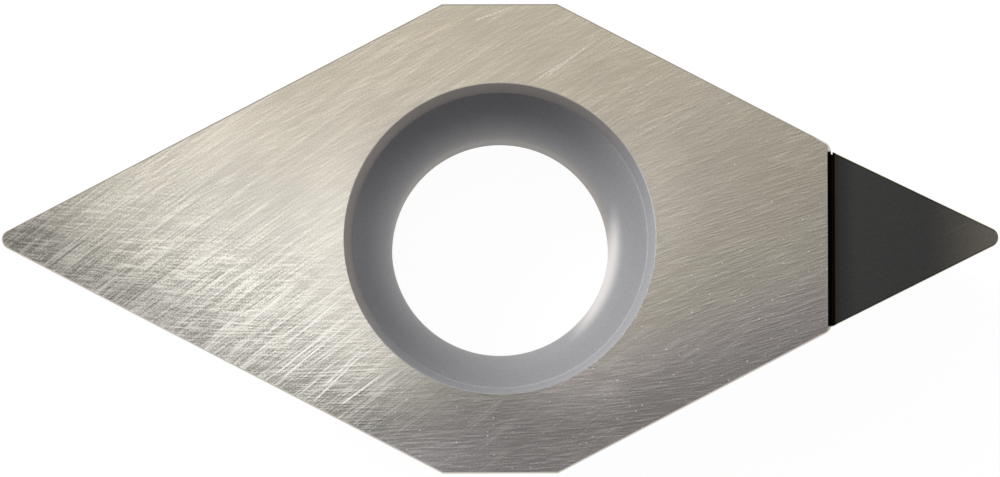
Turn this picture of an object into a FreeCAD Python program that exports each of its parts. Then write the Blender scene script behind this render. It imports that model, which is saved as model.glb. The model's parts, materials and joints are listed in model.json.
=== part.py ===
# Turning insert with a brazed diamond tip: a 55 degree rhombic carbide plate with positive flanks,
# blunted obtuse corners and a screw hole, one acute corner of which is cut away to a stepped pocket
# and holds a polycrystalline diamond tip on a thin seam of braze.
#
# The frame is in millimetres. The origin is on the hole's axis in the plane of the seat face, +Z runs
# up the hole to the rake face, and +X runs along the long diagonal to the diamond nose.
import FreeCAD, Part
import math
import os

# Plate
inscribed_circle = 9.525  # touches the long flanks and both blunted corners in the rake face
corner_angle = 55.0
clearance_angle = 7.0  # every flank leans in by this from the rake face down
thickness = 3.97
nose_radius = 0.2
edge_break = 0.03  # bevel along the plate's outer edges

# Screw hole, from the mouth down
mouth_diameter = 6.3
collar_depth = 0.6
collar_taper = 14.0  # angle by which the collar narrows towards the screw seat
bore_diameter = 4.4
bore_length = 1.25  # cylindrical stretch under the seat, edge break included
bore_edge_break = 0.06

# Diamond tip
tip_length = 3.35  # from the nose back to the seam
tip_thickness = 1.6
tip_back_bevel = 0.04  # along the tip's back edge, beside the seam

# Seam of braze behind and under the tip
braze_gap = 0.03
braze_recess = 0.08  # how far the seam stays below the rake face

# Pocket in the plate
pocket_wall_bevel = 0.07
pocket_root_radius = 0.12
tip_root_clearance = 0.08  # how much larger the tip's root bevel is than the pocket's root

# Ground nose: its two flanks fall back from the plate's own by these angles
relief_left = 1.7  # on the +Y side
relief_right = 1.0  # on the -Y side
shoulder_radius = 0.22  # rounds the plate's corners where they step down to the nose

half_angle = corner_angle / 2
flank_distance = inscribed_circle / 2
nose_centre_x = (flank_distance - nose_radius) / math.sin(math.radians(half_angle))
tip_back_x = nose_centre_x + nose_radius - tip_length
pocket_wall_x = tip_back_x - braze_gap
pocket_floor_z = thickness - tip_thickness - braze_gap
reach = 2 * inscribed_circle  # larger than the plate, for stock and cutters
overrun = 0.5  # how far the pocket's cutter stands out of the rake face
tolerance = 1e-6


def section_point(x, z):
    return FreeCAD.Vector(x, 0, z)


def polyline(points):
    return [Part.LineSegment(a, b).toShape() for a, b in zip(points, points[1:])]


def face_of(edges):
    """The flat face inside a closed run of edges."""
    return Part.Face(Part.Wire(edges))


def across_plate(face):
    """Sweeps a section in the XZ plane over the full width of the plate."""
    face.translate(FreeCAD.Vector(0, -reach / 2, 0))
    return face.extrude(FreeCAD.Vector(0, reach, 0))


def inside_flank(azimuth, distance):
    """All that lies on the inner side of one flank plane, which leans in below the rake face."""
    stock = Part.makeBox(2 * reach, 2 * reach, 2 * reach, FreeCAD.Vector(-2 * reach, -reach, -reach))
    stock.rotate(FreeCAD.Vector(), FreeCAD.Vector(0, 1, 0), clearance_angle)
    stock.translate(FreeCAD.Vector(distance, 0, thickness))
    stock.rotate(FreeCAD.Vector(), FreeCAD.Vector(0, 0, 1), azimuth)
    return stock


def drafted_prism(low_x, high_x, flanks):
    """Stock as thick as the plate, between two planes in X and inside every flank."""
    stock = Part.makeBox(high_x - low_x, reach, thickness, FreeCAD.Vector(low_x, -reach / 2, 0))
    for azimuth, distance in flanks:
        stock = stock.common(inside_flank(azimuth, distance))
    return stock


def lies_at_z(edge, z):
    return all(abs(vertex.Z - z) < tolerance for vertex in edge.Vertexes)


def lies_at_x(edge, x):
    return all(abs(vertex.X - x) < tolerance for vertex in edge.Vertexes)


def round_corner(solid, radius, direction_x, direction_y):
    """Rounds the upright edge that lies furthest in one direction."""
    uprights = []
    for edge in solid.Edges:
        low_z, high_z = sorted(vertex.Z for vertex in edge.Vertexes)
        if low_z < tolerance and high_z > thickness - tolerance:
            uprights.append(edge)
    direction = FreeCAD.Vector(direction_x, direction_y, 0)
    return solid.makeFillet(radius, [max(uprights, key=lambda edge: edge.CenterOfMass.dot(direction))])


def plate_stock():
    """The plate behind the pocket wall, with a rounded idle corner and broken edges."""
    azimuths = [side * turn for side in (1, -1) for turn in (90 - half_angle, 90, 90 + half_angle)]
    plate = drafted_prism(-reach, pocket_wall_x, [(azimuth, flank_distance) for azimuth in azimuths])
    plate = round_corner(plate, nose_radius, -1, 0)
    plate = round_corner(plate, shoulder_radius, 1, 1)
    plate = round_corner(plate, shoulder_radius, 1, -1)
    rims = [edge for edge in plate.Edges if lies_at_z(edge, 0) or lies_at_z(edge, thickness)]
    return plate.makeChamfer(edge_break, rims)


def ground_nose():
    """The acute corner, ground as one through tip, seam and ledge, with its root back at the hole."""
    flanks = []
    for side, relief in ((1, relief_left), (-1, relief_right)):
        nose_angle = half_angle - relief
        distance = nose_centre_x * math.sin(math.radians(nose_angle)) + nose_radius
        flanks.append((side * (90 - nose_angle), distance))
    root_x = mouth_diameter / 2
    nose = round_corner(drafted_prism(root_x, reach, flanks), nose_radius, 1, 0)
    rims = [edge for edge in nose.Edges if lies_at_z(edge, 0) and not lies_at_x(edge, root_x)]
    return nose.makeChamfer(edge_break, rims)


def pocket_space(top_z):
    """The stepped pocket up to top_z: bevelled mouth, upright wall, rounded root and flat floor."""
    bevel_z = thickness - pocket_wall_bevel
    root_x = pocket_wall_x + pocket_root_radius
    root_z = pocket_floor_z + pocket_root_radius
    root_inset = pocket_root_radius * math.sqrt(0.5)
    wall = [section_point(pocket_wall_x, min(bevel_z, top_z)), section_point(pocket_wall_x, root_z)]
    if top_z > bevel_z:
        wall.insert(0, section_point(pocket_wall_x - (top_z - bevel_z), top_z))
    root_middle = section_point(root_x - root_inset, root_z - root_inset)
    floor_start = section_point(root_x, pocket_floor_z)
    floor = [floor_start, section_point(reach, pocket_floor_z), section_point(reach, top_z), wall[0]]
    root = Part.Arc(wall[-1], root_middle, floor_start).toShape()
    return across_plate(face_of(polyline(wall) + [root] + polyline(floor)))


def tip_space():
    """The tip's own section along the long diagonal, bevelled at the back above and below."""
    floor_z = thickness - tip_thickness
    root_bevel = pocket_root_radius + tip_root_clearance
    section = [
        section_point(tip_back_x, floor_z + root_bevel),
        section_point(tip_back_x, thickness - tip_back_bevel),
        section_point(tip_back_x + tip_back_bevel, thickness),
        section_point(reach, thickness),
        section_point(reach, floor_z),
        section_point(tip_back_x + root_bevel, floor_z),
    ]
    return across_plate(face_of(polyline(section + section[:1])))


def screw_hole():
    """The cutter for the screw hole: tapered collar, curved seat tangent to the bore, broken lower edge."""
    mouth_r, bore_r = mouth_diameter / 2, bore_diameter / 2
    seat_r = mouth_r - collar_depth * math.tan(math.radians(collar_taper))
    seat_z = thickness - collar_depth
    seat_rise, seat_step = seat_z - bore_length, seat_r - bore_r
    arc_radius = (seat_rise ** 2 + seat_step ** 2) / (2 * seat_step)
    half_sweep = math.asin(seat_rise / arc_radius) / 2
    arc_centre = section_point(bore_r + arc_radius, bore_length)
    seat_middle = arc_centre + section_point(-math.cos(half_sweep), math.sin(half_sweep)) * arc_radius
    seat_top, bore_top = section_point(seat_r, seat_z), section_point(bore_r, bore_length)
    collar = polyline([section_point(0, thickness), section_point(mouth_r, thickness), seat_top])
    seat = Part.Arc(seat_top, seat_middle, bore_top).toShape()
    bore = polyline([
        bore_top,
        section_point(bore_r, bore_edge_break),
        section_point(bore_r + bore_edge_break, 0),
        section_point(0, 0),
        section_point(0, thickness),
    ])
    return face_of(collar + [seat] + bore).revolve(FreeCAD.Vector(), FreeCAD.Vector(0, 0, 1), 360)


def make_parts():
    nose = ground_nose()
    blank = plate_stock().fuse(nose).removeSplitter()
    body = blank.cut(pocket_space(thickness + overrun)).cut(screw_hole())
    tip = nose.common(tip_space())
    seam = nose.common(pocket_space(thickness - braze_recess)).cut(tip)
    return {"insert_body": body, "braze_seam": seam, "diamond_tip": tip}


os.makedirs("parts", exist_ok=True)
for name, shape in make_parts().items():
    solid = shape.Solids[0]
    print(name, "solids", len(shape.Solids), "valid", solid.isValid(), "volume", round(solid.Volume, 4))
    solid.exportStep(os.path.join("parts", name + ".step"))
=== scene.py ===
# Turning insert with a brazed diamond tip, dressed and lit as in its photograph.
# Lengths in the properties are in metres. Meshes and shaders are worked in millimetres.
import json
import math
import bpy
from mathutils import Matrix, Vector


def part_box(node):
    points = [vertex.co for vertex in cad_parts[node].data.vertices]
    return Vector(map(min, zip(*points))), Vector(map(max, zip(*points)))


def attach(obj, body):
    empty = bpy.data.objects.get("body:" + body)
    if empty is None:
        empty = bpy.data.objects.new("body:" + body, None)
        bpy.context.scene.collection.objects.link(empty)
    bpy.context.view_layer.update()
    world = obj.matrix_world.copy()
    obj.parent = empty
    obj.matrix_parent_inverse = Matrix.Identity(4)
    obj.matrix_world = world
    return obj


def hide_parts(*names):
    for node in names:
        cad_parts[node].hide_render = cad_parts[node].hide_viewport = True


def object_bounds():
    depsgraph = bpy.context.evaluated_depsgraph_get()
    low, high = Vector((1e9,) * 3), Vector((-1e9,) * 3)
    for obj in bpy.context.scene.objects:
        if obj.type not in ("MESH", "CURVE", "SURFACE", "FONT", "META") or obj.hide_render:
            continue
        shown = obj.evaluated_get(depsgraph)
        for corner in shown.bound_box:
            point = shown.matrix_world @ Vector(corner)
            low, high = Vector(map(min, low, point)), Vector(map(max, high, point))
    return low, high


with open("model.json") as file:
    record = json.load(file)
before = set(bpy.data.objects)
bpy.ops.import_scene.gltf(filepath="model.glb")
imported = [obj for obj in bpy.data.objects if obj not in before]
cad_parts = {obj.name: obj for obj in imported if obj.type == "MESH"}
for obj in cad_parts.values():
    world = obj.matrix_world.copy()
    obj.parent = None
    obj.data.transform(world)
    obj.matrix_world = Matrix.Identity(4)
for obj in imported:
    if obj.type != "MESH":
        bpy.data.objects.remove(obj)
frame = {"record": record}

from types import SimpleNamespace

import bmesh
import bpy
from mathutils import Matrix, Vector

bl_info = {
    "name": "Diamond-tipped turning insert",
    "version": (1, 0, 0),
    "blender": (4, 5, 0),
    "location": "3D View > Sidebar > Insert",
    "description": "Builds a rhombic carbide turning insert with a brazed diamond tip, and its studio",
    "category": "Add Mesh",
}

MM = 0.001
CAD_LOW, CAD_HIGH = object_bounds()
SEAM_LOW, SEAM_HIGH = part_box("braze_seam")
TIP_LOW, TIP_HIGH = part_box("diamond_tip")
RECORD_COLOURS = {entry["slot"]: entry["base_color"] for entry in frame["record"]["materials"]}


def length(name, description, default):
    """A length property, in metres."""
    return bpy.props.FloatProperty(
        name=name, description=description, default=default, min=0, precision=6, unit="LENGTH"
    )


def angle(name, description, degrees):
    """An angle property, in radians."""
    return bpy.props.FloatProperty(
        name=name, description=description, default=math.radians(degrees), precision=4, unit="ROTATION"
    )


def colour(name, description, default):
    """A colour property, in linear values."""
    return bpy.props.FloatVectorProperty(
        name=name, description=description, default=default, size=3, min=0, max=1, subtype="COLOR"
    )


def amount(name, description, default):
    """A plain number that is never negative."""
    return bpy.props.FloatProperty(name=name, description=description, default=default, min=0, precision=4)


class InsertSizes(bpy.types.PropertyGroup):
    """Sizes of the insert, from the CAD frame where its boxes give them."""

    inscribed_circle: length("Inscribed circle", "Touches the long flanks and the flats", 9.525 * MM)
    thickness: length("Thickness", "From the seat face to the rake face", CAD_HIGH.z)
    corner_angle: angle("Corner angle", "Between the long flanks at an acute corner", 55)
    clearance: angle("Clearance", "Lean of every flank below the rake face", 7)
    nose_radius: length("Nose radius", "Rounding of both acute corners", 0.2 * MM)
    edge_break: length("Edge break", "Bevel along the plate's outer edges", 0.03 * MM)
    mouth_diameter: length("Hole mouth", "Diameter of the hole in the rake face", 6.3 * MM)
    mouth_break: length("Mouth break", "Bevel round the hole's mouth", 0.02 * MM)
    collar_depth: length("Collar depth", "From the rake face to the top of the screw seat", 0.6 * MM)
    collar_taper: angle("Collar taper", "Lean of the collar above the screw seat", 14)
    bore_diameter: length("Bore", "Diameter of the hole under the screw seat", 4.4 * MM)
    bore_length: length("Bore length", "Cylindrical stretch under the screw seat", 1.25 * MM)
    bore_break: length("Bore break", "Bevel at the bore's lower end", 0.06 * MM)
    wall_x: length("Pocket wall", "Distance of the pocket's wall from the hole's axis", SEAM_LOW.x)
    floor_z: length("Pocket floor", "Height of the pocket's floor", SEAM_LOW.z)
    wall_bevel: length("Wall bevel", "Bevel along the top of the pocket's wall", 0.07 * MM)
    root_radius: length("Pocket root", "Rounding between the pocket's wall and floor", 0.12 * MM)
    shoulder_radius: length("Shoulders", "Rounding of the corners beside the tip", 0.22 * MM)
    relief_left: angle("Left relief", "Angle by which the nose's left flank falls back", 1.7)
    relief_right: angle("Right relief", "Angle by which the nose's right flank falls back", 1.0)
    seam_top: length("Seam top", "Height to which the braze stands", SEAM_HIGH.z)
    seam_wear: length("Seam wear", "How far the braze is worn back at its left end", 0.04 * MM)
    tip_back: length("Tip back", "Distance of the tip's back face from the hole's axis", TIP_LOW.x)
    tip_floor: length("Tip underside", "Height of the tip's underside", TIP_LOW.z)
    tip_back_bevel: length("Tip back bevel", "Bevel along the tip's back edge", 0.04 * MM)
    tip_root_bevel: length("Tip root bevel", "Bevel under the tip's back face", 0.2 * MM)
    tip_hone: length("Hone", "Tiny bevel along the cutting edges", 0.01 * MM)
    diamond_layer: length("Diamond layer", "Depth of the dark layer on the tip's flanks", 0.5 * MM)


class InsertFinish(bpy.types.PropertyGroup):
    """Colours of the insert's surfaces, some of them painted light and shade."""

    ground: colour("Ground carbide", "Ground rake face, seat face and flanks", (0.68, 0.668, 0.64))
    # Warm and cool carbide are painted reflection tints: warmer towards the upper edge, cooler low and right
    warm: colour("Warm carbide", "Ground carbide towards the upper edge", (0.7, 0.672, 0.605))
    cool: colour("Cool carbide", "Ground carbide towards the lower edge", (0.68, 0.666, 0.7))
    # Edge and lower edge are shaded and lit copies of one edge colour: painted shade above, painted
    # highlight below
    edge: colour("Edge", "Broken edges of the plate on its upper side in the picture", (0.34, 0.3, 0.25))
    lit_edge: colour("Lower edge", "Broken edges of the plate on its lower side", (0.6, 0.56, 0.5))
    sintered: colour("Sintered carbide", "Unground surface inside the hole", (0.335, 0.338, 0.36))
    # Collar: painted shade, a darker, warmer copy of the sintered colour on the shaded side. Bore glow:
    # painted glow towards the bore
    collar: colour("Collar", "Warmer ring above the screw seat", (0.31, 0.275, 0.26))
    bore_glow: colour("Burnished carbide", "Screw seat towards the bore", (0.41, 0.38, 0.35))
    # Groove colour: painted shade in the groove beside the tip, and the dark of the braze's pits
    soot_and_groove_shade: colour("Groove", "Flux and soot in the groove beside the tip", (0.014, 0.011, 0.01))
    braze: colour("Braze", "Tarnished braze in the seam", RECORD_COLOURS["braze"])
    diamond: colour("Diamond", "Lapped face of the tip", (0.08, 0.082, 0.0855))
    # Nose reflection: painted warm reflection, lighter towards the nose
    diamond_nose: colour("Diamond nose", "Lighter lapped face at the nose", (0.3, 0.28, 0.245))
    backing: colour("Backing", "Carbide side of the tip below its dark layer", (0.3, 0.3, 0.3))


class InsertStudio(bpy.types.PropertyGroup):
    """Camera, lamps and surroundings."""

    distance: length("Camera distance", "From the rake face to the camera", 0.4)
    tilt: angle("Camera tilt", "Lean of the camera towards the insert's right side", 4.25)
    roll: angle("Camera roll", "Turn of the camera about its own axis", 0.13)
    field: length("Field", "Width of the rake face's plane that the picture takes in", 20.22 * MM)
    floor: colour("Floor", "Plain pale floor", (0.8, 0.8, 0.8))
    sky_low: colour("Surroundings", "Pale walls round the table", (0.95, 0.95, 0.95))
    sky_lit: colour("Lit side", "Upper surroundings behind the large lamp", (0.6, 0.6, 0.6))
    sky_dim: colour("Dim side", "Upper surroundings away from the large lamp", (0.16, 0.16, 0.165))
    sky_high: colour("Ceiling", "Dark ceiling above the table", (0.06, 0.06, 0.06))
    key_radiance: amount("Key lamp", "Brightness of the large soft lamp", 10.0)
    key_colour: colour("Key colour", "Colour of the large soft lamp", (1.0, 0.99, 0.97))
    sheen_radiance: amount("Sheen lamp", "Brightness of the near lamp that the rake face mirrors", 1.07)
    sheen_colour: colour("Sheen colour", "Colour of the near lamp", (0.99, 1.0, 0.985))
    warm_radiance: amount("Warm lamp", "Brightness of the warm lamp over the tip's side", 0.985)
    warm_colour: colour("Warm colour", "Colour of the warm lamp", (1.0, 0.91, 0.78))


def in_millimetres(sizes):
    """The sizes as plain numbers: lengths in millimetres and angles in radians."""
    numbers = {}
    for item in sizes.bl_rna.properties:
        if item.type == "FLOAT":
            numbers[item.identifier] = getattr(sizes, item.identifier) / (MM if item.unit == "LENGTH" else 1)
    return SimpleNamespace(**numbers)


# Meshes

NOSE_SEGMENTS = 96
HOLE_SEGMENTS = 256
SEAT_SEGMENTS = 28
SHOULDER_SEGMENTS = 10
ROOT_SEGMENTS = 8
FLAT_ANGLE = math.radians(0.5)  # faces of a hull that turn by less are one face
CUT_ANGLE = math.radians(0.05)  # the same for faces that a cut has split
SHARP_ANGLE = math.radians(20)
TOLERANCE = 1e-4
OVERRUN = 0.5  # how far the hole's cutter stands out of both faces
FAR = 20.0  # further out than any point of the insert


def flank_distance(size, z):
    """Distance of the long flanks and the flats from the hole's axis at one height."""
    return size.inscribed_circle / 2 - (size.thickness - z) * math.tan(size.clearance)


def nose_centre(size):
    """Distance of the nose's centre from the hole's axis in the rake face."""
    return (size.inscribed_circle / 2 - size.nose_radius) / math.sin(size.corner_angle / 2)


def nose_reach(size, turn):
    """Distance of one of the nose's flanks from the hole's axis in the rake face."""
    return nose_centre(size) * math.sin(turn) + size.nose_radius


def add_nose_circle(bm, size, x, y, z):
    place = Matrix.Translation((x, y, z))
    bmesh.ops.create_circle(bm, segments=NOSE_SEGMENTS, radius=size.nose_radius, matrix=place)


def wrap(bm):
    """Wraps a bmesh's vertices in their convex hull and joins its level faces."""
    hull = bmesh.ops.convex_hull(bm, input=bm.verts[:])
    left_over = hull["geom_interior"] + hull["geom_unused"]
    loose = {item for item in left_over if isinstance(item, bmesh.types.BMVert)}
    bmesh.ops.delete(bm, geom=list(loose), context="VERTS")
    bmesh.ops.dissolve_limit(bm, angle_limit=FLAT_ANGLE, verts=bm.verts[:], edges=bm.edges[:])


def bevel(bm, edges, width, segments):
    bmesh.ops.bevel(
        bm, geom=edges, offset=width, offset_type="OFFSET", segments=segments, profile=0.5,
        affect="EDGES", material=-1, clamp_overlap=True,
    )


def slice_off(bm, point, normal):
    """Removes what lies beyond a plane and closes the cut."""
    geometry = bm.verts[:] + bm.edges[:] + bm.faces[:]
    cut = bmesh.ops.bisect_plane(bm, geom=geometry, plane_co=point, plane_no=normal, clear_outer=True)
    edges = [item for item in cut["geom_cut"] if isinstance(item, bmesh.types.BMEdge)]
    bmesh.ops.contextual_create(bm, geom=edges)


def level_edges(bm, z):
    return [edge for edge in bm.edges if all(abs(vert.co.z - z) < TOLERANCE for vert in edge.verts)]


def edges_at_x(edges, x):
    return [edge for edge in edges if all(abs(vert.co.x - x) < TOLERANCE for vert in edge.verts)]


def edges_off_x(edges, x):
    at_x = edges_at_x(edges, x)
    return [edge for edge in edges if edge not in at_x]


def plate_stock(size):
    """The plate behind the pocket wall."""
    bm = bmesh.new()
    half = size.corner_angle / 2
    for z in (0, size.thickness):
        distance = flank_distance(size, z)
        wall_y = (distance - size.wall_x * math.sin(half)) / math.cos(half)
        flat_x = distance * math.tan(half / 2)
        for side in (1, -1):
            bm.verts.new((-flat_x, side * distance, z))
            bm.verts.new((flat_x, side * distance, z))
            bm.verts.new((size.wall_x, side * wall_y, z))
        add_nose_circle(bm, size, -(distance - size.nose_radius) / math.sin(half), 0, z)
    wrap(bm)
    shoulders = []
    for edge in edges_at_x(bm.edges, size.wall_x):
        if abs(edge.verts[0].co.z - edge.verts[1].co.z) > size.thickness / 2:
            shoulders.append(edge)
    turn = math.pi / 2 - half
    bevel(bm, shoulders, size.shoulder_radius * math.tan(turn / 2), SHOULDER_SEGMENTS)
    bevel(bm, level_edges(bm, 0) + level_edges(bm, size.thickness), size.edge_break, 1)
    slice_off(bm, (size.wall_x, 0, size.thickness - size.wall_bevel), (1, 0, 1))
    return bm


def nose_stock(size, break_lower_edges):
    """The acute corner beyond the hole, from which ledge, seam and tip are cut."""
    bm = bmesh.new()
    root_x = size.mouth_diameter / 2
    left = size.corner_angle / 2 - size.relief_left
    right = size.corner_angle / 2 - size.relief_right
    for z in (0, size.thickness):
        draft = (size.thickness - z) * math.tan(size.clearance)
        for side, turn in ((1, left), (-1, right)):
            distance = nose_reach(size, turn) - draft
            bm.verts.new((root_x, side * (distance - root_x * math.sin(turn)) / math.cos(turn), z))
        shift_x = draft * (math.cos(left) + math.cos(right)) / math.sin(left + right)
        shift_y = draft * (math.sin(left) - math.sin(right)) / math.sin(left + right)
        add_nose_circle(bm, size, nose_centre(size) - shift_x, shift_y, z)
    wrap(bm)
    if break_lower_edges:
        bevel(bm, edges_off_x(level_edges(bm, 0), root_x), size.edge_break, 1)
    return bm


def block(low, high):
    """A block between two corners."""
    bm = bmesh.new()
    bmesh.ops.create_cube(bm, size=1)
    low, high = Vector(low), Vector(high)
    bmesh.ops.scale(bm, vec=high - low, verts=bm.verts[:])
    bmesh.ops.translate(bm, vec=(low + high) / 2, verts=bm.verts[:])
    return bm


def recess(x, z, root):
    """Cutter for all that lies behind an upright wall and above a floor, with a rounded root."""
    bm = block((x, -FAR, z), (FAR, FAR, FAR))
    bevel(bm, edges_at_x(level_edges(bm, z), x), root, ROOT_SEGMENTS)
    return bm


def screw_hole(size):
    """Cutter for the hole: collar, curved seat, bore and its broken edges, spun from one section."""
    bm = bmesh.new()
    mouth_r, bore_r = size.mouth_diameter / 2, size.bore_diameter / 2
    seat_r = mouth_r - size.collar_depth * math.tan(size.collar_taper)
    seat_z = size.thickness - size.collar_depth
    rise, step = seat_z - size.bore_length, seat_r - bore_r
    arc_radius = (rise ** 2 + step ** 2) / (2 * step)
    seat_top = bm.verts.new((seat_r, 0, seat_z))
    arc = bmesh.ops.spin(
        bm, geom=[seat_top], cent=(bore_r + arc_radius, 0, size.bore_length), axis=(0, 1, 0),
        angle=-math.asin(rise / arc_radius), steps=SEAT_SEGMENTS, use_merge=False,
    )
    seat_low = [item for item in arc["geom_last"] if isinstance(item, bmesh.types.BMVert)][0]
    above = [
        (mouth_r - size.mouth_break * math.tan(size.collar_taper), 0, size.thickness - size.mouth_break),
        (mouth_r + size.mouth_break + OVERRUN, 0, size.thickness + OVERRUN),
        (0, 0, size.thickness + OVERRUN),
    ]
    below = [
        (bore_r, 0, size.bore_break),
        (bore_r + size.bore_break + OVERRUN, 0, -OVERRUN),
        (0, 0, -OVERRUN),
    ]
    for start, points in ((seat_top, above), (seat_low, below)):
        for point in points:
            following = bm.verts.new(point)
            bm.edges.new((start, following))
            start = following
    bmesh.ops.spin(
        bm, geom=bm.verts[:] + bm.edges[:], cent=(0, 0, 0), axis=(0, 0, 1),
        angle=2 * math.pi, steps=HOLE_SEGMENTS, use_merge=True,
    )
    bmesh.ops.remove_doubles(bm, verts=bm.verts[:], dist=TOLERANCE)
    bmesh.ops.recalc_face_normals(bm, faces=bm.faces[:])
    return bm


def combine(first, second, operation):
    """An exact union, difference or intersection of two bmeshes, both of which it uses up."""
    holders = []
    for bm in (first, second):
        bmesh.ops.recalc_face_normals(bm, faces=bm.faces[:])
        mesh = bpy.data.meshes.new("stock")
        bm.to_mesh(mesh)
        bm.free()
        holder = bpy.data.objects.new("stock", mesh)
        bpy.context.scene.collection.objects.link(holder)
        holders.append(holder)
    cut = holders[0].modifiers.new("cut", "BOOLEAN")
    cut.operation = operation
    cut.solver = "EXACT"
    cut.object = holders[1]
    result = bmesh.new()
    result.from_object(holders[0], bpy.context.evaluated_depsgraph_get())
    for holder in holders:
        bpy.data.meshes.remove(holder.data)
    if not result.faces:
        raise RuntimeError("a cut left nothing of " + operation.lower())
    bmesh.ops.remove_doubles(result, verts=result.verts[:], dist=TOLERANCE)
    bmesh.ops.dissolve_limit(
        result, angle_limit=CUT_ANGLE, verts=result.verts[:], edges=result.edges[:]
    )
    return result


def finish_piece(bm, name, node, material):
    """Turns a worked bmesh into a piece in metres that stands for one CAD node."""
    bmesh.ops.triangulate(bm, faces=[face for face in bm.faces if len(face.verts) > 4])
    bmesh.ops.recalc_face_normals(bm, faces=bm.faces[:])
    bmesh.ops.scale(bm, vec=(MM, MM, MM), verts=bm.verts[:])
    open_edges = sum(not edge.is_manifold for edge in bm.edges)
    if open_edges:
        raise RuntimeError(f"{name} has {open_edges} open edges")
    mesh = bpy.data.meshes.new(name)
    bm.to_mesh(mesh)
    bm.free()
    mesh.shade_smooth()
    mesh.set_sharp_from_angle(angle=SHARP_ANGLE)
    mesh.materials.append(material)
    piece = bpy.data.objects.new(name, mesh)
    bpy.context.scene.collection.objects.link(piece)
    even = piece.modifiers.new("even shading", "WEIGHTED_NORMAL")
    even.keep_sharp = True
    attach(piece, "root")
    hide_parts(node)


# Shaders, with places and sizes in millimetres

WHITE = (1.0, 1.0, 1.0)

# Strokes: the centre of the circles that they follow, their length and width, seed and detail
GRINDING = {
    "sweep": ((50.0, -80.0), 1.2, 0.032, 3.1, 0.0),
    "sweep_long": ((58.0, -84.0), 2.6, 0.042, 7.7, 1.0),
    "cross": ((24.0, -74.0), 0.5, 0.032, 11.3, 0.0),
    "cross_long": ((34.0, -76.0), 1.1, 0.05, 13.9, 1.0),
    "flat": ((-2.0, 54.0), 0.4, 0.034, 17.9, 0.0),
    "flat_long": ((-6.0, 50.0), 1.0, 0.05, 23.2, 1.0),
}
SCORES = ((62.0, -86.0), 1.4, 0.07, 31.4, 0.0)
LONG_MARKS = ((70.0, -88.0), 3.2, 0.12, 41.7, 0.0)
BREAKS = ((66.0, -86.0), 1.5, 0.12, 51.3, 0.0)
LAPPING = ((25.0, -40.0), 0.6, 0.035, 5.5, 2.0)

# Means over the rake face, so that the marks leave its roughness and brightness as they are
MEAN_STROKE = 0.38
MEAN_SHINE = 0.353

# Single scratches on the rake face, from end to end
LONG_SCRATCHES = (
    ((-4.70, -2.88), (-2.84, -1.34)), ((-4.45, -2.25), (-2.96, -1.00)), ((-4.52, -2.92), (-2.80, -1.48)),
    ((-3.62, -3.04), (-2.66, -2.12)), ((-3.84, -3.36), (-2.60, -2.16)), ((-3.28, -3.40), (-2.22, -2.62)),
    ((-5.25, -1.85), (-3.90, -0.70)),
)
FAINT_SCRATCHES = (
    ((0.61, 3.12), (2.21, 4.18)), ((0.84, 3.20), (2.09, 4.13)), ((-0.56, 4.40), (0.31, 4.72)),
    ((-1.00, 3.00), (-0.60, 3.26)),
)
SCRATCH_WIDTH = 0.022
FAINT_WIDTH = 0.024


class Socket:
    """A value in a shader. Python's operators on it add Math nodes."""

    def __init__(self, shader, output):
        self.shader = shader
        self.output = output

    def math(self, operation, *others):
        return self.shader.math(operation, self, *others)

    def __add__(self, other):
        return self.math("ADD", other)

    def __sub__(self, other):
        return self.math("SUBTRACT", other)

    def __rsub__(self, other):
        return self.shader.math("SUBTRACT", other, self)

    def __mul__(self, other):
        return self.math("MULTIPLY", other)

    def __truediv__(self, other):
        return self.math("DIVIDE", other)

    def __rtruediv__(self, other):
        return self.shader.math("DIVIDE", other, self)

    def __abs__(self):
        return self.math("ABSOLUTE")

    __radd__ = __add__
    __rmul__ = __mul__

    def root(self):
        return self.math("SQRT")

    def rise(self, low, high):
        """Goes smoothly from 0 at low to 1 at high."""
        settings = {"interpolation_type": "SMOOTHSTEP"}
        return self.shader.node(
            "ShaderNodeMapRange", settings, {"Value": self, "From Min": low, "From Max": high}
        )

    def sibling(self, name):
        """Another output of the same node."""
        return Socket(self.shader, self.output.node.outputs[name])


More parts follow.
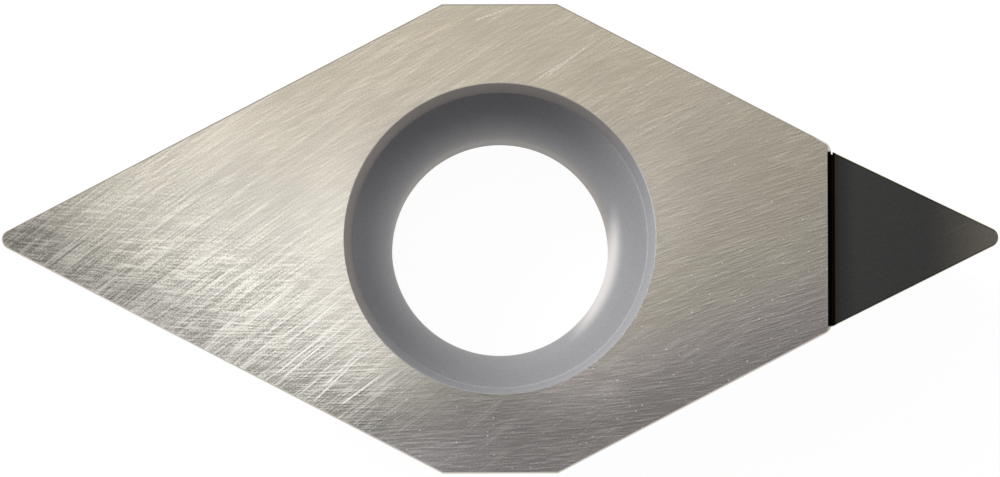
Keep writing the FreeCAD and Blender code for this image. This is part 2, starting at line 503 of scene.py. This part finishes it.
class Shader:
    """A material's or world's node tree, filled by expressions."""

    def __init__(self, owner):
        owner.use_nodes = True
        self.tree = owner.node_tree
        self.tree.nodes.clear()

    def node(self, kind, settings=None, sockets=None, output=0):
        """Adds a node, gives it its settings, then its sockets' values or links."""
        node = self.tree.nodes.new(kind)
        for name, value in (settings or {}).items():
            setattr(node, name, value)
        for name, value in (sockets or {}).items():
            if isinstance(value, Socket):
                self.tree.links.new(value.output, node.inputs[name])
            else:
                node.inputs[name].default_value = value
        return Socket(self, node.outputs[output]) if node.outputs else node

    def math(self, operation, *values):
        return self.node("ShaderNodeMath", {"operation": operation}, dict(enumerate(values)))

    def split(self, vector):
        """The three parts of a vector."""
        first = self.node("ShaderNodeSeparateXYZ", None, {"Vector": vector})
        return [Socket(self, output) for output in first.output.node.outputs]

    def join(self, x, y, z):
        return self.node("ShaderNodeCombineXYZ", None, {"X": x, "Y": y, "Z": z})

    def position(self):
        """The surface's place on the insert."""
        place = self.node("ShaderNodeTexCoord", output="Object")
        scaled = self.node("ShaderNodeVectorMath", {"operation": "SCALE"}, {0: place, "Scale": 1 / MM})
        return self.split(scaled)

    def normal(self):
        """The three parts of the direction that the surface faces."""
        return self.split(self.node("ShaderNodeTexCoord", output="Normal"))

    def facing(self):
        """How far the surface faces up or down: 0 on an upright one, 1 on a level one."""
        return abs(self.normal()[2])

    def blend(self, factor, first, second):
        """A colour between two others."""
        settings = {"data_type": "RGBA"}
        values = [(*value, 1) if not isinstance(value, Socket) else value for value in (first, second)]
        return self.node("ShaderNodeMix", settings, {0: factor, 6: values[0], 7: values[1]}, output=2)

    def dim(self, colour, factor):
        """A colour made lighter or darker by a factor."""
        return self.node("ShaderNodeVectorMath", {"operation": "SCALE"}, {0: colour, "Scale": factor})

    def noise(self, vector, detail, roughness=0.5):
        sockets = {"Vector": vector, "Scale": 1, "Detail": detail, "Roughness": roughness}
        return self.node("ShaderNodeTexNoise", {"noise_dimensions": "3D"}, sockets)

    def blotches(self, place, frequency, detail, seed=0.0, roughness=0.5):
        """Blotches from 0 to 1, so many to a millimetre along X, Y and Z."""
        x, y, z = (axis * times for axis, times in zip(place, frequency))
        return self.noise(self.join(x, y, z + seed), detail, roughness)

    def strokes(self, place, centre, stroke_length, width, seed, detail):
        """Strokes along circles round a far centre, from 0 to 1."""
        x, y, z = place
        from_x, from_y = x - centre[0], y - centre[1]
        reach = (from_x * from_x + from_y * from_y).root()
        bearing = from_y.math("ARCTAN2", from_x) * math.hypot(*centre)
        vector = self.join(bearing / stroke_length, reach / width, z * 0.7 + seed)
        return self.noise(vector, detail)

    def scratch(self, place, start, end, width):
        """One straight scratch between two points, which fades towards both of them."""
        x, y = place[0] - start[0], place[1] - start[1]
        reach = math.dist(start, end)
        step_x, step_y = (end[0] - start[0]) / reach, (end[1] - start[1]) / reach
        along, across = x * step_x + y * step_y, y * step_x - x * step_y
        fade = along.rise(0.0, reach * 0.15) * along.rise(reach, reach * 0.65)
        return abs(across).rise(width, width * 0.5) * fade

    def bump(self, height, strength, depth):
        sockets = {"Height": height, "Strength": strength, "Distance": depth * MM}
        return self.node("ShaderNodeBump", None, sockets)

    def finish(self, **sockets):
        """Ends a material in one Principled shader."""
        values = {name.replace("_", " "): value for name, value in sockets.items()}
        surface = self.node("ShaderNodeBsdfPrincipled", None, values)
        self.node("ShaderNodeOutputMaterial", None, {"Surface": surface})


def new_material(name):
    material = bpy.data.materials.new(name)
    return material, Shader(material)


def toward(place, degrees):
    """Distance from the hole's axis in one direction: 0 is along +X and 90 along +Y."""
    turn = math.radians(degrees)
    return place[0] * math.cos(turn) + place[1] * math.sin(turn)


def inside_flank(size, place, side_x, side_y):
    """Distance inside the long flank that lies on the given sides of the axis in X and Y."""
    half = size.corner_angle / 2
    reach = place[0] * (side_x * math.sin(half)) + place[1] * (side_y * math.cos(half))
    return size.inscribed_circle / 2 - reach


def inside_nose_flank(size, place, side, relief):
    """Distance inside one of the nose's flanks in the rake face."""
    turn = size.corner_angle / 2 - relief
    reach = place[0] * math.sin(turn) + place[1] * (side * math.cos(turn))
    return nose_reach(size, turn) - reach


def grinding_marks(shader, place, torn):
    """Two crossing sweeps of the grinding wheel, a flatter third low down, and torn grain."""

    def marks(name):
        return shader.strokes(place, *GRINDING[name]).rise(0.4, 0.7)

    low = toward(place, 253.3).rise(0.287, 2.3)
    right_low = toward(place, -50.2).rise(-0.64, 3.2)
    weave = shader.blotches(place, (0.8, 1.2, 0.2), 1.0, 21.0).rise(0.4, 0.6)
    main = (marks("sweep") + marks("sweep_long")) * 0.5
    cross = (marks("cross") + marks("cross_long")) * 0.5
    flat = (marks("flat") + marks("flat_long")) * 0.5
    second = flat * low + cross * (1 - low)
    main_share = 0.48 - weave * 0.14 - right_low * 0.28
    second_share = 0.26 + weave * 0.14 + right_low * 0.16
    return main * main_share + second * second_share + torn * 0.26


def scratch_marks(shader, place, low_left, torn):
    """Straight scratches, thickest low and left of the hole, which the rake face shows near white as painted
    glints.
    """
    x, y, _ = place
    bunch = shader.blotches(place, (0.5, 0.5, 0.1), 1.0, 4.0).rise(0.5, 0.62)
    near_hole = abs(x + 4.0).rise(2.6, 0.8) * abs(y + 1.8).rise(2.4, 0.9)
    scored = abs(shader.strokes(place, *SCORES) - 0.5).rise(0.09, 0.02)
    long_marks = abs(shader.strokes(place, *LONG_MARKS) - 0.5).rise(0.08, 0.02)
    broken = shader.strokes(place, *BREAKS).rise(0.42, 0.6)
    scratch = (long_marks * (near_hole * 0.4 + bunch * 0.15) + scored * low_left * 0.3) * broken
    for start, end in LONG_SCRATCHES:
        scratch = scratch.math("MAXIMUM", shader.scratch(place, start, end, SCRATCH_WIDTH))
    beads = torn * 0.6 + 0.2
    for start, end in FAINT_SCRATCHES:
        scratch = scratch.math("MAXIMUM", shader.scratch(place, start, end, FAINT_WIDTH) * beads)
    return scratch.math("MINIMUM", 1.0)


def speck_glints(shader, place, low_left):
    """Bright specks, most of them low and right, painted as glints on pits where the wheel tore grains out.
    """
    cells = shader.node(
        "ShaderNodeTexVoronoi", {"feature": "F1", "voronoi_dimensions": "2D"},
        {"Vector": shader.join(*place), "Scale": 8.0},
    )
    chance, strength, _ = shader.split(cells.sibling("Color"))
    low_right = toward(place, -70.7).rise(-0.472, 2.832)
    speckled = chance + low_right * 0.16 + low_left * 0.14 + place[0].rise(-7.5, -9.0) * 0.2
    return cells.rise(0.17, 0.05) * speckled.rise(0.92, 1.03) * (strength * strength * 0.7 + 0.12)


def painted_shade_and_stains(shader, size, place, radius):
    """Painted shade and painted light over the rake face, fitted where the lamps' sheen falls off, with
    random stains: how much darker each region is, less than 0 if brighter.
    """
    x, y, _ = place
    to_low_left = inside_flank(size, place, -1, -1)
    to_low_right = inside_flank(size, place, 1, -1)
    to_upper_left = inside_flank(size, place, -1, 1)
    to_bottom = ((x + 0.8) * (x + 0.8) + (y + 4.4) * (y + 4.4)).root()
    far_left = x.rise(-4.6, -6.2)
    stains = shader.blotches(place, (1.1, 1.6, 0.2), 2.0, 9.0).rise(0.46, 0.62)
    # Painted shade towards the lower left flank, the left nose, the bottom and the lower right; the stains
    # term is random tone
    darker = [
        to_low_left.rise(1.7, 0.1) * far_left * 0.26,
        to_low_left.rise(1.3, 0.2) * x.rise(-1.5, -3.0) * (1 - far_left) * 0.12,
        stains * (x.rise(-6.0, -8.8) + to_low_left.rise(1.2, 0.1) * x.rise(-2.0, -4.0)) * 0.06,
        to_bottom.rise(3.4, 0.9) * 0.28,
        to_low_right.rise(1.5, 0.2) * 0.16,
        toward(place, 59.04).rise(2.23, 3.945) * 0.07,
        x.rise(1.0, -1.0) * y.rise(-2.2, -3.2) * 0.1,
    ]
    # Painted light where the sheen reaches further
    brighter = [
        y.rise(-3.7, -4.6) * 0.22,
        radius.rise(4.6, 3.4) * toward(place, 204.0).rise(1.015, 3.046) * 0.13,
        radius.rise(4.4, 3.2) * toward(place, -21.7).rise(1.0, 3.0) * 0.14,
        to_upper_left.rise(1.3, 0.4) * x.rise(-4.0, -5.5) * x.rise(-8.8, -7.6) * 0.14,
    ]
    return sum(darker) - sum(brighter)


def ground_colour(shader, size, finish, place, radius, strokes, low_left):
    """Ground carbide streaked by the wheel, tinted warmer above and cooler low and right by painted
    reflection, with painted glints in its marks and painted shade and light where the lamps' sheen falls
    off.
    """
    x, y, _ = place
    patches = shader.blotches(place, (0.35, 0.35, 0.2), 2.0)
    # Painted warm reflection, warmer towards the upper edge, mixed with random patches of tone
    warm_reflection_and_patches = (y * 0.16 + patches * 0.8 + strokes * 0.3 - 0.37).rise(0.0, 0.9)
    ground = shader.blend(warm_reflection_and_patches, finish.ground, finish.warm)
    # Painted cooler tone low and right, where less warm light is reflected
    ground = shader.blend(toward(place, -70.7).rise(2.265, 3.775), ground, finish.cool)
    # The marks' contrast is strongest low and left, where the sheen lamp glints on them: grinding marks with
    # painted glints
    coarse_left = y.rise(0.6, -0.9) * x.rise(-2.8, -5.0) * 1.6 + x.rise(-7.0, -8.5) * 0.3
    coarse_right = y.rise(-0.5, -3.0) * x.rise(-2.0, 0.0) * 0.2 + y.rise(0.5, 2.5) * x.rise(0.5, 2.5) * 0.25
    contrast = (low_left * (coarse_left + 1.2) + coarse_right + x.rise(4.0, -4.0) * 0.35 + 0.9) * 0.37
    shine = ((strokes * (strokes + 0.6) - MEAN_SHINE) * contrast + 1).math("MINIMUM", 1.5)
    return shader.dim(ground, shine * (1 - painted_shade_and_stains(shader, size, place, radius)))


def edge_colour(shader, size, finish, place, radius, shaded_side):
    """Broken edges: dark above as painted shade, paler below and beside the tip and brightest at the hole's
    lit rim as painted highlights.
    """
    x, y, _ = place
    downward_to_upward = shader.normal()[1].rise(-0.3, 0.3)
    # Painted highlight on the shoulder beside the tip
    shoulder_highlight = x.rise(6.3, 6.5) * y.rise(1.5, 1.7)
    mouth = radius.rise(size.mouth_diameter / 2 + 0.06, size.mouth_diameter / 2 + 0.04)
    edge = shader.blend(downward_to_upward, finish.lit_edge, finish.edge)
    edge = shader.blend(shoulder_highlight, edge, (0.62, 0.57, 0.58))
    # Painted highlights on the hole's rim, pale on its lit side and white towards the right
    edge = shader.blend(mouth * (1 - shaded_side), edge, (0.74, 0.73, 0.715))
    return shader.blend(mouth * toward(place, -21.7).rise(1.6, 2.8), edge, WHITE)


def sintered_colour(shader, size, finish, place, shaded_side, grain):
    """Unground carbide inside the hole, with its collar, screw seat and bore, and painted light and shade: a
    darker, warmer collar on the shaded side, a light line at the seat's edge on the lit side, a painted glow
    towards the bore, and shade by direction.
    """
    z = place[2]
    seat_z = size.thickness - size.collar_depth
    collar = z.rise(seat_z - 0.02, seat_z + 0.02)
    # Painted highlight: a light line at the seat's edge on the lit side; painted shade: the collar on the
    # shaded side
    seat_edge_highlight = abs(z - seat_z).rise(0.04, 0.01) * (1 - shaded_side)
    sintered = shader.blend(collar * shaded_side, finish.sintered, finish.collar)
    sintered = shader.blend(seat_edge_highlight * 0.28, sintered, (0.7, 0.69, 0.7))
    # Painted glow towards the bore
    sintered = shader.blend(z.rise(2.3, size.bore_length), sintered, finish.bore_glow)
    seat_shade = toward(place, 105.0).rise(0.9, 3.0) * 0.41
    collar_shade = toward(place, 75.0).rise(0.8, 2.6) * 0.2 + toward(place, 255.0).rise(1.5, 3.0) * 0.14
    lit = toward(place, 230.3).rise(0.5, 2.9) * 0.12 + toward(place, -21.7).rise(0.5, 2.8) * 0.24
    shade = seat_shade * (1 - collar) + collar_shade * collar - lit
    return shader.dim(sintered, (grain * 0.4 + 0.8) * (1 - shade))


def painted_shade_beside_tip(shader, size, finish, place, painted):
    """Paints the bevel of the pocket wall near black, as long as the tip is wide: painted shade and a
    painted dark reflection of the tip's back face, with a painted highlight as a pale line beside it.
    """
    x, y, z = place
    groove_edge = size.wall_x - size.wall_bevel
    from_middle = abs(y + 0.02)
    in_groove = x.rise(groove_edge - 0.012, groove_edge) * from_middle.rise(1.79, 1.76)
    on_bevel = z.rise(size.thickness - 0.27, size.thickness - 0.12)
    beside = abs(x - groove_edge + 0.045).rise(0.03, 0.012) * from_middle.rise(1.79, 1.7)
    # Painted shade on the bevel, and a painted highlight as the pale line beside it
    painted = shader.blend(in_groove * on_bevel, painted, finish.soot_and_groove_shade)
    return shader.blend(beside * 0.6, painted, (0.6, 0.64, 0.68))


def carbide(size, finish):
    """Ground tungsten carbide, sintered inside the hole, with painted light and shade on its faces, edges
    and hole, and painted shade in the groove beside the tip.
    """
    material, shader = new_material("ground_carbide")
    place = shader.position()
    x, y, z = place
    facing = shader.facing()
    level = facing.rise(0.9, 0.99)
    on_rake = level * z.rise(size.thickness - 1.0, size.thickness - 0.5)
    on_edge = (1 - facing.rise(0.72, 0.97)) * facing.rise(0.3, 0.5)
    radius = (x * x + y * y).root()
    mouth_r = size.mouth_diameter / 2
    inside = radius.rise(mouth_r + 0.004, mouth_r - 0.006) * z.rise(0.002, 0.008)
    low_left = toward(place, 228.8).rise(1.693, 4.327) * x.rise(-1.2, -3.4)
    shaded_side = toward(place, 126.9).rise(-1.2, 1.6)
    torn = shader.blotches(place, (30.0, 30.0, 30.0), 1.0).rise(0.38, 0.66)
    grain = shader.blotches(place, (22.0, 22.0, 22.0), 3.0)
    flank_marks = shader.blotches(place, (0.9, 0.9, 28.0), 3.0)
    strokes = grinding_marks(shader, place, torn) * level + flank_marks * (1 - level)
    scratch = scratch_marks(shader, place, low_left, torn) * on_rake
    speck_glint = speck_glints(shader, place, low_left) * on_rake

    ground = ground_colour(shader, size, finish, place, radius, strokes, low_left)
    # Scratches painted near white: painted glints along real scratches
    ground = shader.blend(scratch, ground, (1.0, 0.99, 0.97))
    # Specks painted white: painted glints
    ground = shader.blend(speck_glint, ground, WHITE)
    edge = edge_colour(shader, size, finish, place, radius, shaded_side)
    ground = shader.blend(on_edge, ground, edge)

    # A patch low in the seat on the right is painted pale as a painted glare, with a smoother, more metallic
    # face
    seat_glare = radius.rise(2.53, 2.3) * toward(place, -18.0).rise(1.85, 2.25)
    sintered = sintered_colour(shader, size, finish, place, shaded_side, grain)
    sintered = shader.blend(seat_glare * 0.8, sintered, (0.9, 0.86, 0.84))
    painted = shader.blend(inside, ground, sintered)
    painted = painted_shade_beside_tip(shader, size, finish, place, painted)

    ground_height = (strokes - torn * 0.2) * (low_left * 0.45 + 0.35)
    ground_roughness = (strokes - MEAN_STROKE) * 0.06 + 0.32
    shader.finish(
        Base_Color=painted,
        Metallic=(1 - inside * (0.6 - seat_glare * 0.5)) * (1 - speck_glint * 0.8) * (1 - scratch * 0.3),
        Roughness=ground_roughness * (1 - inside) + inside * (0.5 - seat_glare * 0.18),
        Normal=shader.bump(ground_height * (1 - inside) + grain * inside * 0.8, 1.0, 0.004),
    )
    return material


def braze(size, finish):
    """Tarnished silver braze with a pitted, matt face, whose top is painted near black as shade in the
    groove.
    """
    material, shader = new_material("tarnished_braze")
    place = shader.position()
    pits = shader.blotches(place, (30.0, 30.0, 30.0), 3.0)
    top = place[2].rise(size.seam_top - 0.1, size.seam_top - 0.04)
    worn = shader.blend(pits.rise(0.4, 0.65), finish.braze, finish.soot_and_groove_shade)
    painted = shader.blend(top, worn, finish.soot_and_groove_shade)
    bump = shader.bump(pits, 0.6, 0.004)
    shader.finish(Base_Color=painted, Metallic=1.0, Roughness=pits * 0.3 + 0.4, Normal=bump)
    return material


def diamond(size, finish):
    """Lapped polycrystalline diamond over the carbide side of the tip."""
    material, shader = new_material("lapped_diamond")
    place = shader.position()
    x, y, z = place
    facing = shader.facing()
    bevel_x = size.tip_back + size.tip_back_bevel
    mottle = shader.blotches(place, (24.0, 24.0, 24.0), 2.0, roughness=0.6).rise(0.3, 0.7)
    lap = shader.strokes(place, *LAPPING).rise(0.35, 0.65)
    back = x.rise(bevel_x, bevel_x + 0.5)
    # Painted warm reflection, lighter towards the nose
    painted = shader.blend(x.rise(8.5, 10.7), finish.diamond, finish.diamond_nose)
    painted = shader.dim(painted, (back * 0.4 + 0.6) * (mottle * 0.14 + lap * 0.03 + 0.915))

    # A faint scuff across the middle of the face
    across_scuff = (x - 8.98) * 0.447 - (y - 0.045) * 0.894
    scuff = abs(across_scuff).rise(0.018, 0.004) * x.rise(8.9, 9.1) * x.rise(9.7, 9.5)
    painted = shader.blend(scuff * 0.15, painted, (0.3, 0.3, 0.3))

    # A thin painted dark line just inside the ground edges, as painted edge shade, and the honed edges
    # painted pale yellow, as a painted fringe of light
    to_left = inside_nose_flank(size, place, 1, size.relief_left)
    to_right = inside_nose_flank(size, place, -1, size.relief_right)
    near_edge = to_left.math("MINIMUM", to_right).rise(0.05, 0.02)
    hone = (1 - facing.rise(0.75, 0.95)) * facing.rise(0.3, 0.5) * x.rise(bevel_x + 0.01, bevel_x + 0.04)
    painted = shader.dim(painted, 1 - near_edge * 0.45)
    painted = shader.blend(hone, painted, (0.6, 0.57, 0.36))

    # Olive line in front of the back bevel, and the bevel painted near black as painted shade in the groove
    olive = x.rise(bevel_x + 0.09, bevel_x + 0.03) * facing.rise(0.9, 0.99)
    soot_and_groove_shade = x.rise(bevel_x + 0.012, bevel_x)
    painted = shader.blend(olive * 0.8, painted, (0.052, 0.041, 0.024))
    painted = shader.blend(soot_and_groove_shade, painted, finish.soot_and_groove_shade)

    # The flanks show the dark layer over its carbide backing
    boundary = size.thickness - size.diamond_layer + 0.02
    side = (1 - facing.rise(0.3, 0.6)) * (z + mottle * 0.02).rise(boundary + 0.012, boundary - 0.012)
    flank_marks = shader.blotches(place, (1.5, 1.5, 30.0), 3.0)
    backing = shader.dim(finish.backing, flank_marks * 0.5 + 0.75)
    painted = shader.blend(side * (1 - soot_and_groove_shade), painted, backing)
    shader.finish(
        Base_Color=painted,
        Metallic=side.math("MAXIMUM", soot_and_groove_shade) * 0.2 + 0.8,
        Roughness=mottle * 0.06 + 0.38,
        Normal=shader.bump(mottle * 0.3 + lap * 0.3 + side * flank_marks, 0.5, 0.002),
    )
    return material


# Studio

FLOOR_RADIUS = 1.2
FLOOR_SEGMENTS = 96
FLOOR_GLOW = 0.96
SHADOW_SHARE = 0.09
SENSOR_WIDTH = 36.0

# Square lamps: their place, the point that they face and their width, in millimetres
KEY_LAMP = ((-190, 145, 150), (0, 0, 4), 150)
SHEEN_LAMP = ((-5.3, -0.6, 19.2), (-2, 0, 4), 6.2)
WARM_LAMP = ((-0.8, 11.8, 41), (0, 0, 4), 21)


def seen_or_mirrored(shader):
    """1 for rays from the camera and rays that a glossy or clear surface sends on."""
    path = shader.node("ShaderNodeLightPath", output="Is Camera Ray")
    sent_on = path.sibling("Is Glossy Ray").math("MAXIMUM", path.sibling("Is Transmission Ray"))
    return path.math("MAXIMUM", sent_on)


def floor_material(studio):
    """A pale floor that shows white, with a faint shadow, and lights the insert plainly."""
    material, shader = new_material("pale_floor")
    plain = shader.node("ShaderNodeBsdfDiffuse", None, {"Color": (*studio.floor, 1)})
    shaded = shader.node("ShaderNodeBsdfDiffuse", None, {"Color": (*[SHADOW_SHARE] * 3, 1)})
    glow = shader.node("ShaderNodeEmission", None, {"Color": (*WHITE, 1), "Strength": FLOOR_GLOW})
    white = shader.node("ShaderNodeAddShader", None, {0: shaded, 1: glow})
    surface = shader.node("ShaderNodeMixShader", None, {0: seen_or_mirrored(shader), 1: plain, 2: white})
    shader.node("ShaderNodeOutputMaterial", None, {"Surface": surface})
    return material


def add_floor(studio):
    bm = bmesh.new()
    bmesh.ops.create_circle(bm, cap_ends=True, segments=FLOOR_SEGMENTS, radius=FLOOR_RADIUS)
    mesh = bpy.data.meshes.new("floor")
    bm.to_mesh(mesh)
    bm.free()
    mesh.materials.append(floor_material(studio))
    floor = bpy.data.objects.new("floor", mesh)
    bpy.context.scene.collection.objects.link(floor)


def add_sky(studio):
    """Pale surroundings that darken towards the ceiling."""
    world = bpy.data.worlds.new("studio")
    shader = Shader(world)
    across, along, upward = shader.split(shader.node("ShaderNodeTexCoord", output="Generated"))
    lit = (along * 0.8 - across * 0.6).rise(-0.7, 0.8)
    walls = shader.blend(lit, studio.sky_dim, studio.sky_lit)
    upper = shader.blend(upward.rise(0.78, 0.97), walls, studio.sky_high)
    sky = shader.blend(upward.rise(0.12, 0.4), studio.sky_low, upper)
    background = shader.node("ShaderNodeBackground", None, {"Color": sky, "Strength": 1.0})
    shader.node("ShaderNodeOutputWorld", None, {"Surface": background})
    bpy.context.scene.world = world


def add_lamp(name, setup, radiance, lamp_colour, mirrored):
    """A square soft lamp that the camera doesn't see and shiny faces may mirror."""
    place, aim, width = setup
    data = bpy.data.lights.new(name, "AREA")
    data.shape = "SQUARE"
    data.size = width * MM
    data.energy = radiance * math.pi * data.size ** 2
    data.color = lamp_colour
    lamp = bpy.data.objects.new(name, data)
    lamp.location = Vector(place) * MM
    lamp.rotation_euler = (Vector(aim) - Vector(place)).to_track_quat("-Z", "Y").to_euler()
    lamp.visible_camera = False
    lamp.visible_glossy = mirrored
    bpy.context.scene.collection.objects.link(lamp)


def add_camera(studio, size):
    """A camera above the rake face, leaning a little towards the insert's right side."""
    data = bpy.data.cameras.new("camera")
    data.sensor_width = SENSOR_WIDTH
    data.lens = SENSOR_WIDTH * studio.distance / studio.field
    data.clip_start = studio.distance / 10
    data.clip_end = studio.distance * 10
    camera = bpy.data.objects.new("camera", data)
    aim = Matrix.Translation((0, 0, size.thickness * MM))
    lean = Matrix.Rotation(studio.tilt, 4, "X") @ Matrix.Rotation(-studio.roll, 4, "Z")
    camera.matrix_world = aim @ lean @ Matrix.Translation((0, 0, studio.distance))
    bpy.context.scene.collection.objects.link(camera)
    bpy.context.scene.camera = camera


# Operators and panel


class AddPlate(bpy.types.Operator):
    """Adds the carbide plate with its screw hole and stepped pocket"""

    bl_idname = "turning_insert.add_plate"
    bl_label = "Add plate"

    def execute(self, context):
        size = in_millimetres(context.scene.insert_sizes)
        ledge = nose_stock(size, True)
        ledge = combine(ledge, recess(size.wall_x, size.floor_z, size.root_radius), "DIFFERENCE")
        slice_off(ledge, (0, 0, size.floor_z + size.root_radius), (0, 0, 1))
        body = combine(plate_stock(size), ledge, "UNION")
        body = combine(body, screw_hole(size), "DIFFERENCE")
        material = carbide(size, context.scene.insert_finish)
        finish_piece(body, "plate", "insert_body", material)
        return {"FINISHED"}


class AddSeam(bpy.types.Operator):
    """Adds the thin seam of braze behind and under the tip"""

    bl_idname = "turning_insert.add_seam"
    bl_label = "Add seam"

    def execute(self, context):
        size = in_millimetres(context.scene.insert_sizes)
        seam = nose_stock(size, True)
        slice_off(seam, (0, 0, size.seam_top), (0, 0, 1))
        seam = combine(seam, recess(size.wall_x, size.floor_z, size.root_radius), "INTERSECT")
        tip_room = block((size.tip_back, -FAR, size.tip_floor), (FAR, FAR, FAR))
        room_root = edges_at_x(level_edges(tip_room, size.tip_floor), size.tip_back)
        bevel(tip_room, room_root, size.tip_root_bevel, 1)
        seam = combine(seam, tip_room, "DIFFERENCE")
        left = size.corner_angle / 2 - size.relief_left
        distance = nose_reach(size, left) - size.seam_wear
        outward = Vector((math.sin(left), math.cos(left), 0))
        lean = Vector((0, 0, -math.tan(size.clearance)))
        slice_off(seam, outward * distance + Vector((0, 0, size.thickness)), outward + lean)
        material = braze(size, context.scene.insert_finish)
        finish_piece(seam, "seam", "braze_seam", material)
        return {"FINISHED"}


class AddTip(bpy.types.Operator):
    """Adds the diamond tip"""

    bl_idname = "turning_insert.add_tip"
    bl_label = "Add tip"

    def execute(self, context):
        size = in_millimetres(context.scene.insert_sizes)
        tip = nose_stock(size, False)
        slice_off(tip, (0, 0, size.tip_floor), (0, 0, -1))
        slice_off(tip, (size.tip_back, 0, 0), (-1, 0, 0))
        bevel(tip, edges_at_x(level_edges(tip, size.tip_floor), size.tip_back), size.tip_root_bevel, 1)
        bevel(tip, edges_at_x(level_edges(tip, size.thickness), size.tip_back), size.tip_back_bevel, 1)
        back_x = size.tip_back + size.tip_back_bevel
        bevel(tip, edges_off_x(level_edges(tip, size.thickness), back_x), size.tip_hone, 1)
        material = diamond(size, context.scene.insert_finish)
        finish_piece(tip, "tip", "diamond_tip", material)
        return {"FINISHED"}


class AddStudio(bpy.types.Operator):
    """Adds the floor, surroundings, lamps and camera"""

    bl_idname = "turning_insert.add_studio"
    bl_label = "Add studio"

    def execute(self, context):
        size = in_millimetres(context.scene.insert_sizes)
        studio = context.scene.insert_studio
        context.scene.view_settings.view_transform = "Standard"
        add_floor(studio)
        add_sky(studio)
        add_lamp("key", KEY_LAMP, studio.key_radiance, studio.key_colour, False)
        add_lamp("sheen", SHEEN_LAMP, studio.sheen_radiance, studio.sheen_colour, True)
        add_lamp("warm", WARM_LAMP, studio.warm_radiance, studio.warm_colour, True)
        add_camera(studio, size)
        return {"FINISHED"}


class InsertPanel(bpy.types.Panel):
    """Lists the insert's operators, sizes and colours"""

    bl_idname = "VIEW3D_PT_turning_insert"
    bl_label = "Turning insert"
    bl_space_type = "VIEW_3D"
    bl_region_type = "UI"
    bl_category = "Insert"

    def draw(self, context):
        layout = self.layout
        for operator in OPERATORS:
            layout.operator(operator.bl_idname)
        for group in (context.scene.insert_sizes, context.scene.insert_finish, context.scene.insert_studio):
            box = layout.box()
            for item in group.bl_rna.properties:
                if item.type == "FLOAT":
                    box.prop(group, item.identifier)


GROUPS = (InsertSizes, InsertFinish, InsertStudio)
OPERATORS = (AddStudio, AddPlate, AddSeam, AddTip)
CLASSES = GROUPS + OPERATORS + (InsertPanel,)


def register():
    for item in CLASSES:
        bpy.utils.register_class(item)
    bpy.types.Scene.insert_sizes = bpy.props.PointerProperty(type=InsertSizes)
    bpy.types.Scene.insert_finish = bpy.props.PointerProperty(type=InsertFinish)
    bpy.types.Scene.insert_studio = bpy.props.PointerProperty(type=InsertStudio)


def unregister():
    del bpy.types.Scene.insert_studio
    del bpy.types.Scene.insert_finish
    del bpy.types.Scene.insert_sizes
    for item in reversed(CLASSES):
        bpy.utils.unregister_class(item)


def main():
    register()
    bpy.ops.turning_insert.add_studio()
    bpy.ops.turning_insert.add_plate()
    bpy.ops.turning_insert.add_seam()
    bpy.ops.turning_insert.add_tip()
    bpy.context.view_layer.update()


if __name__ == "__main__":
    main()
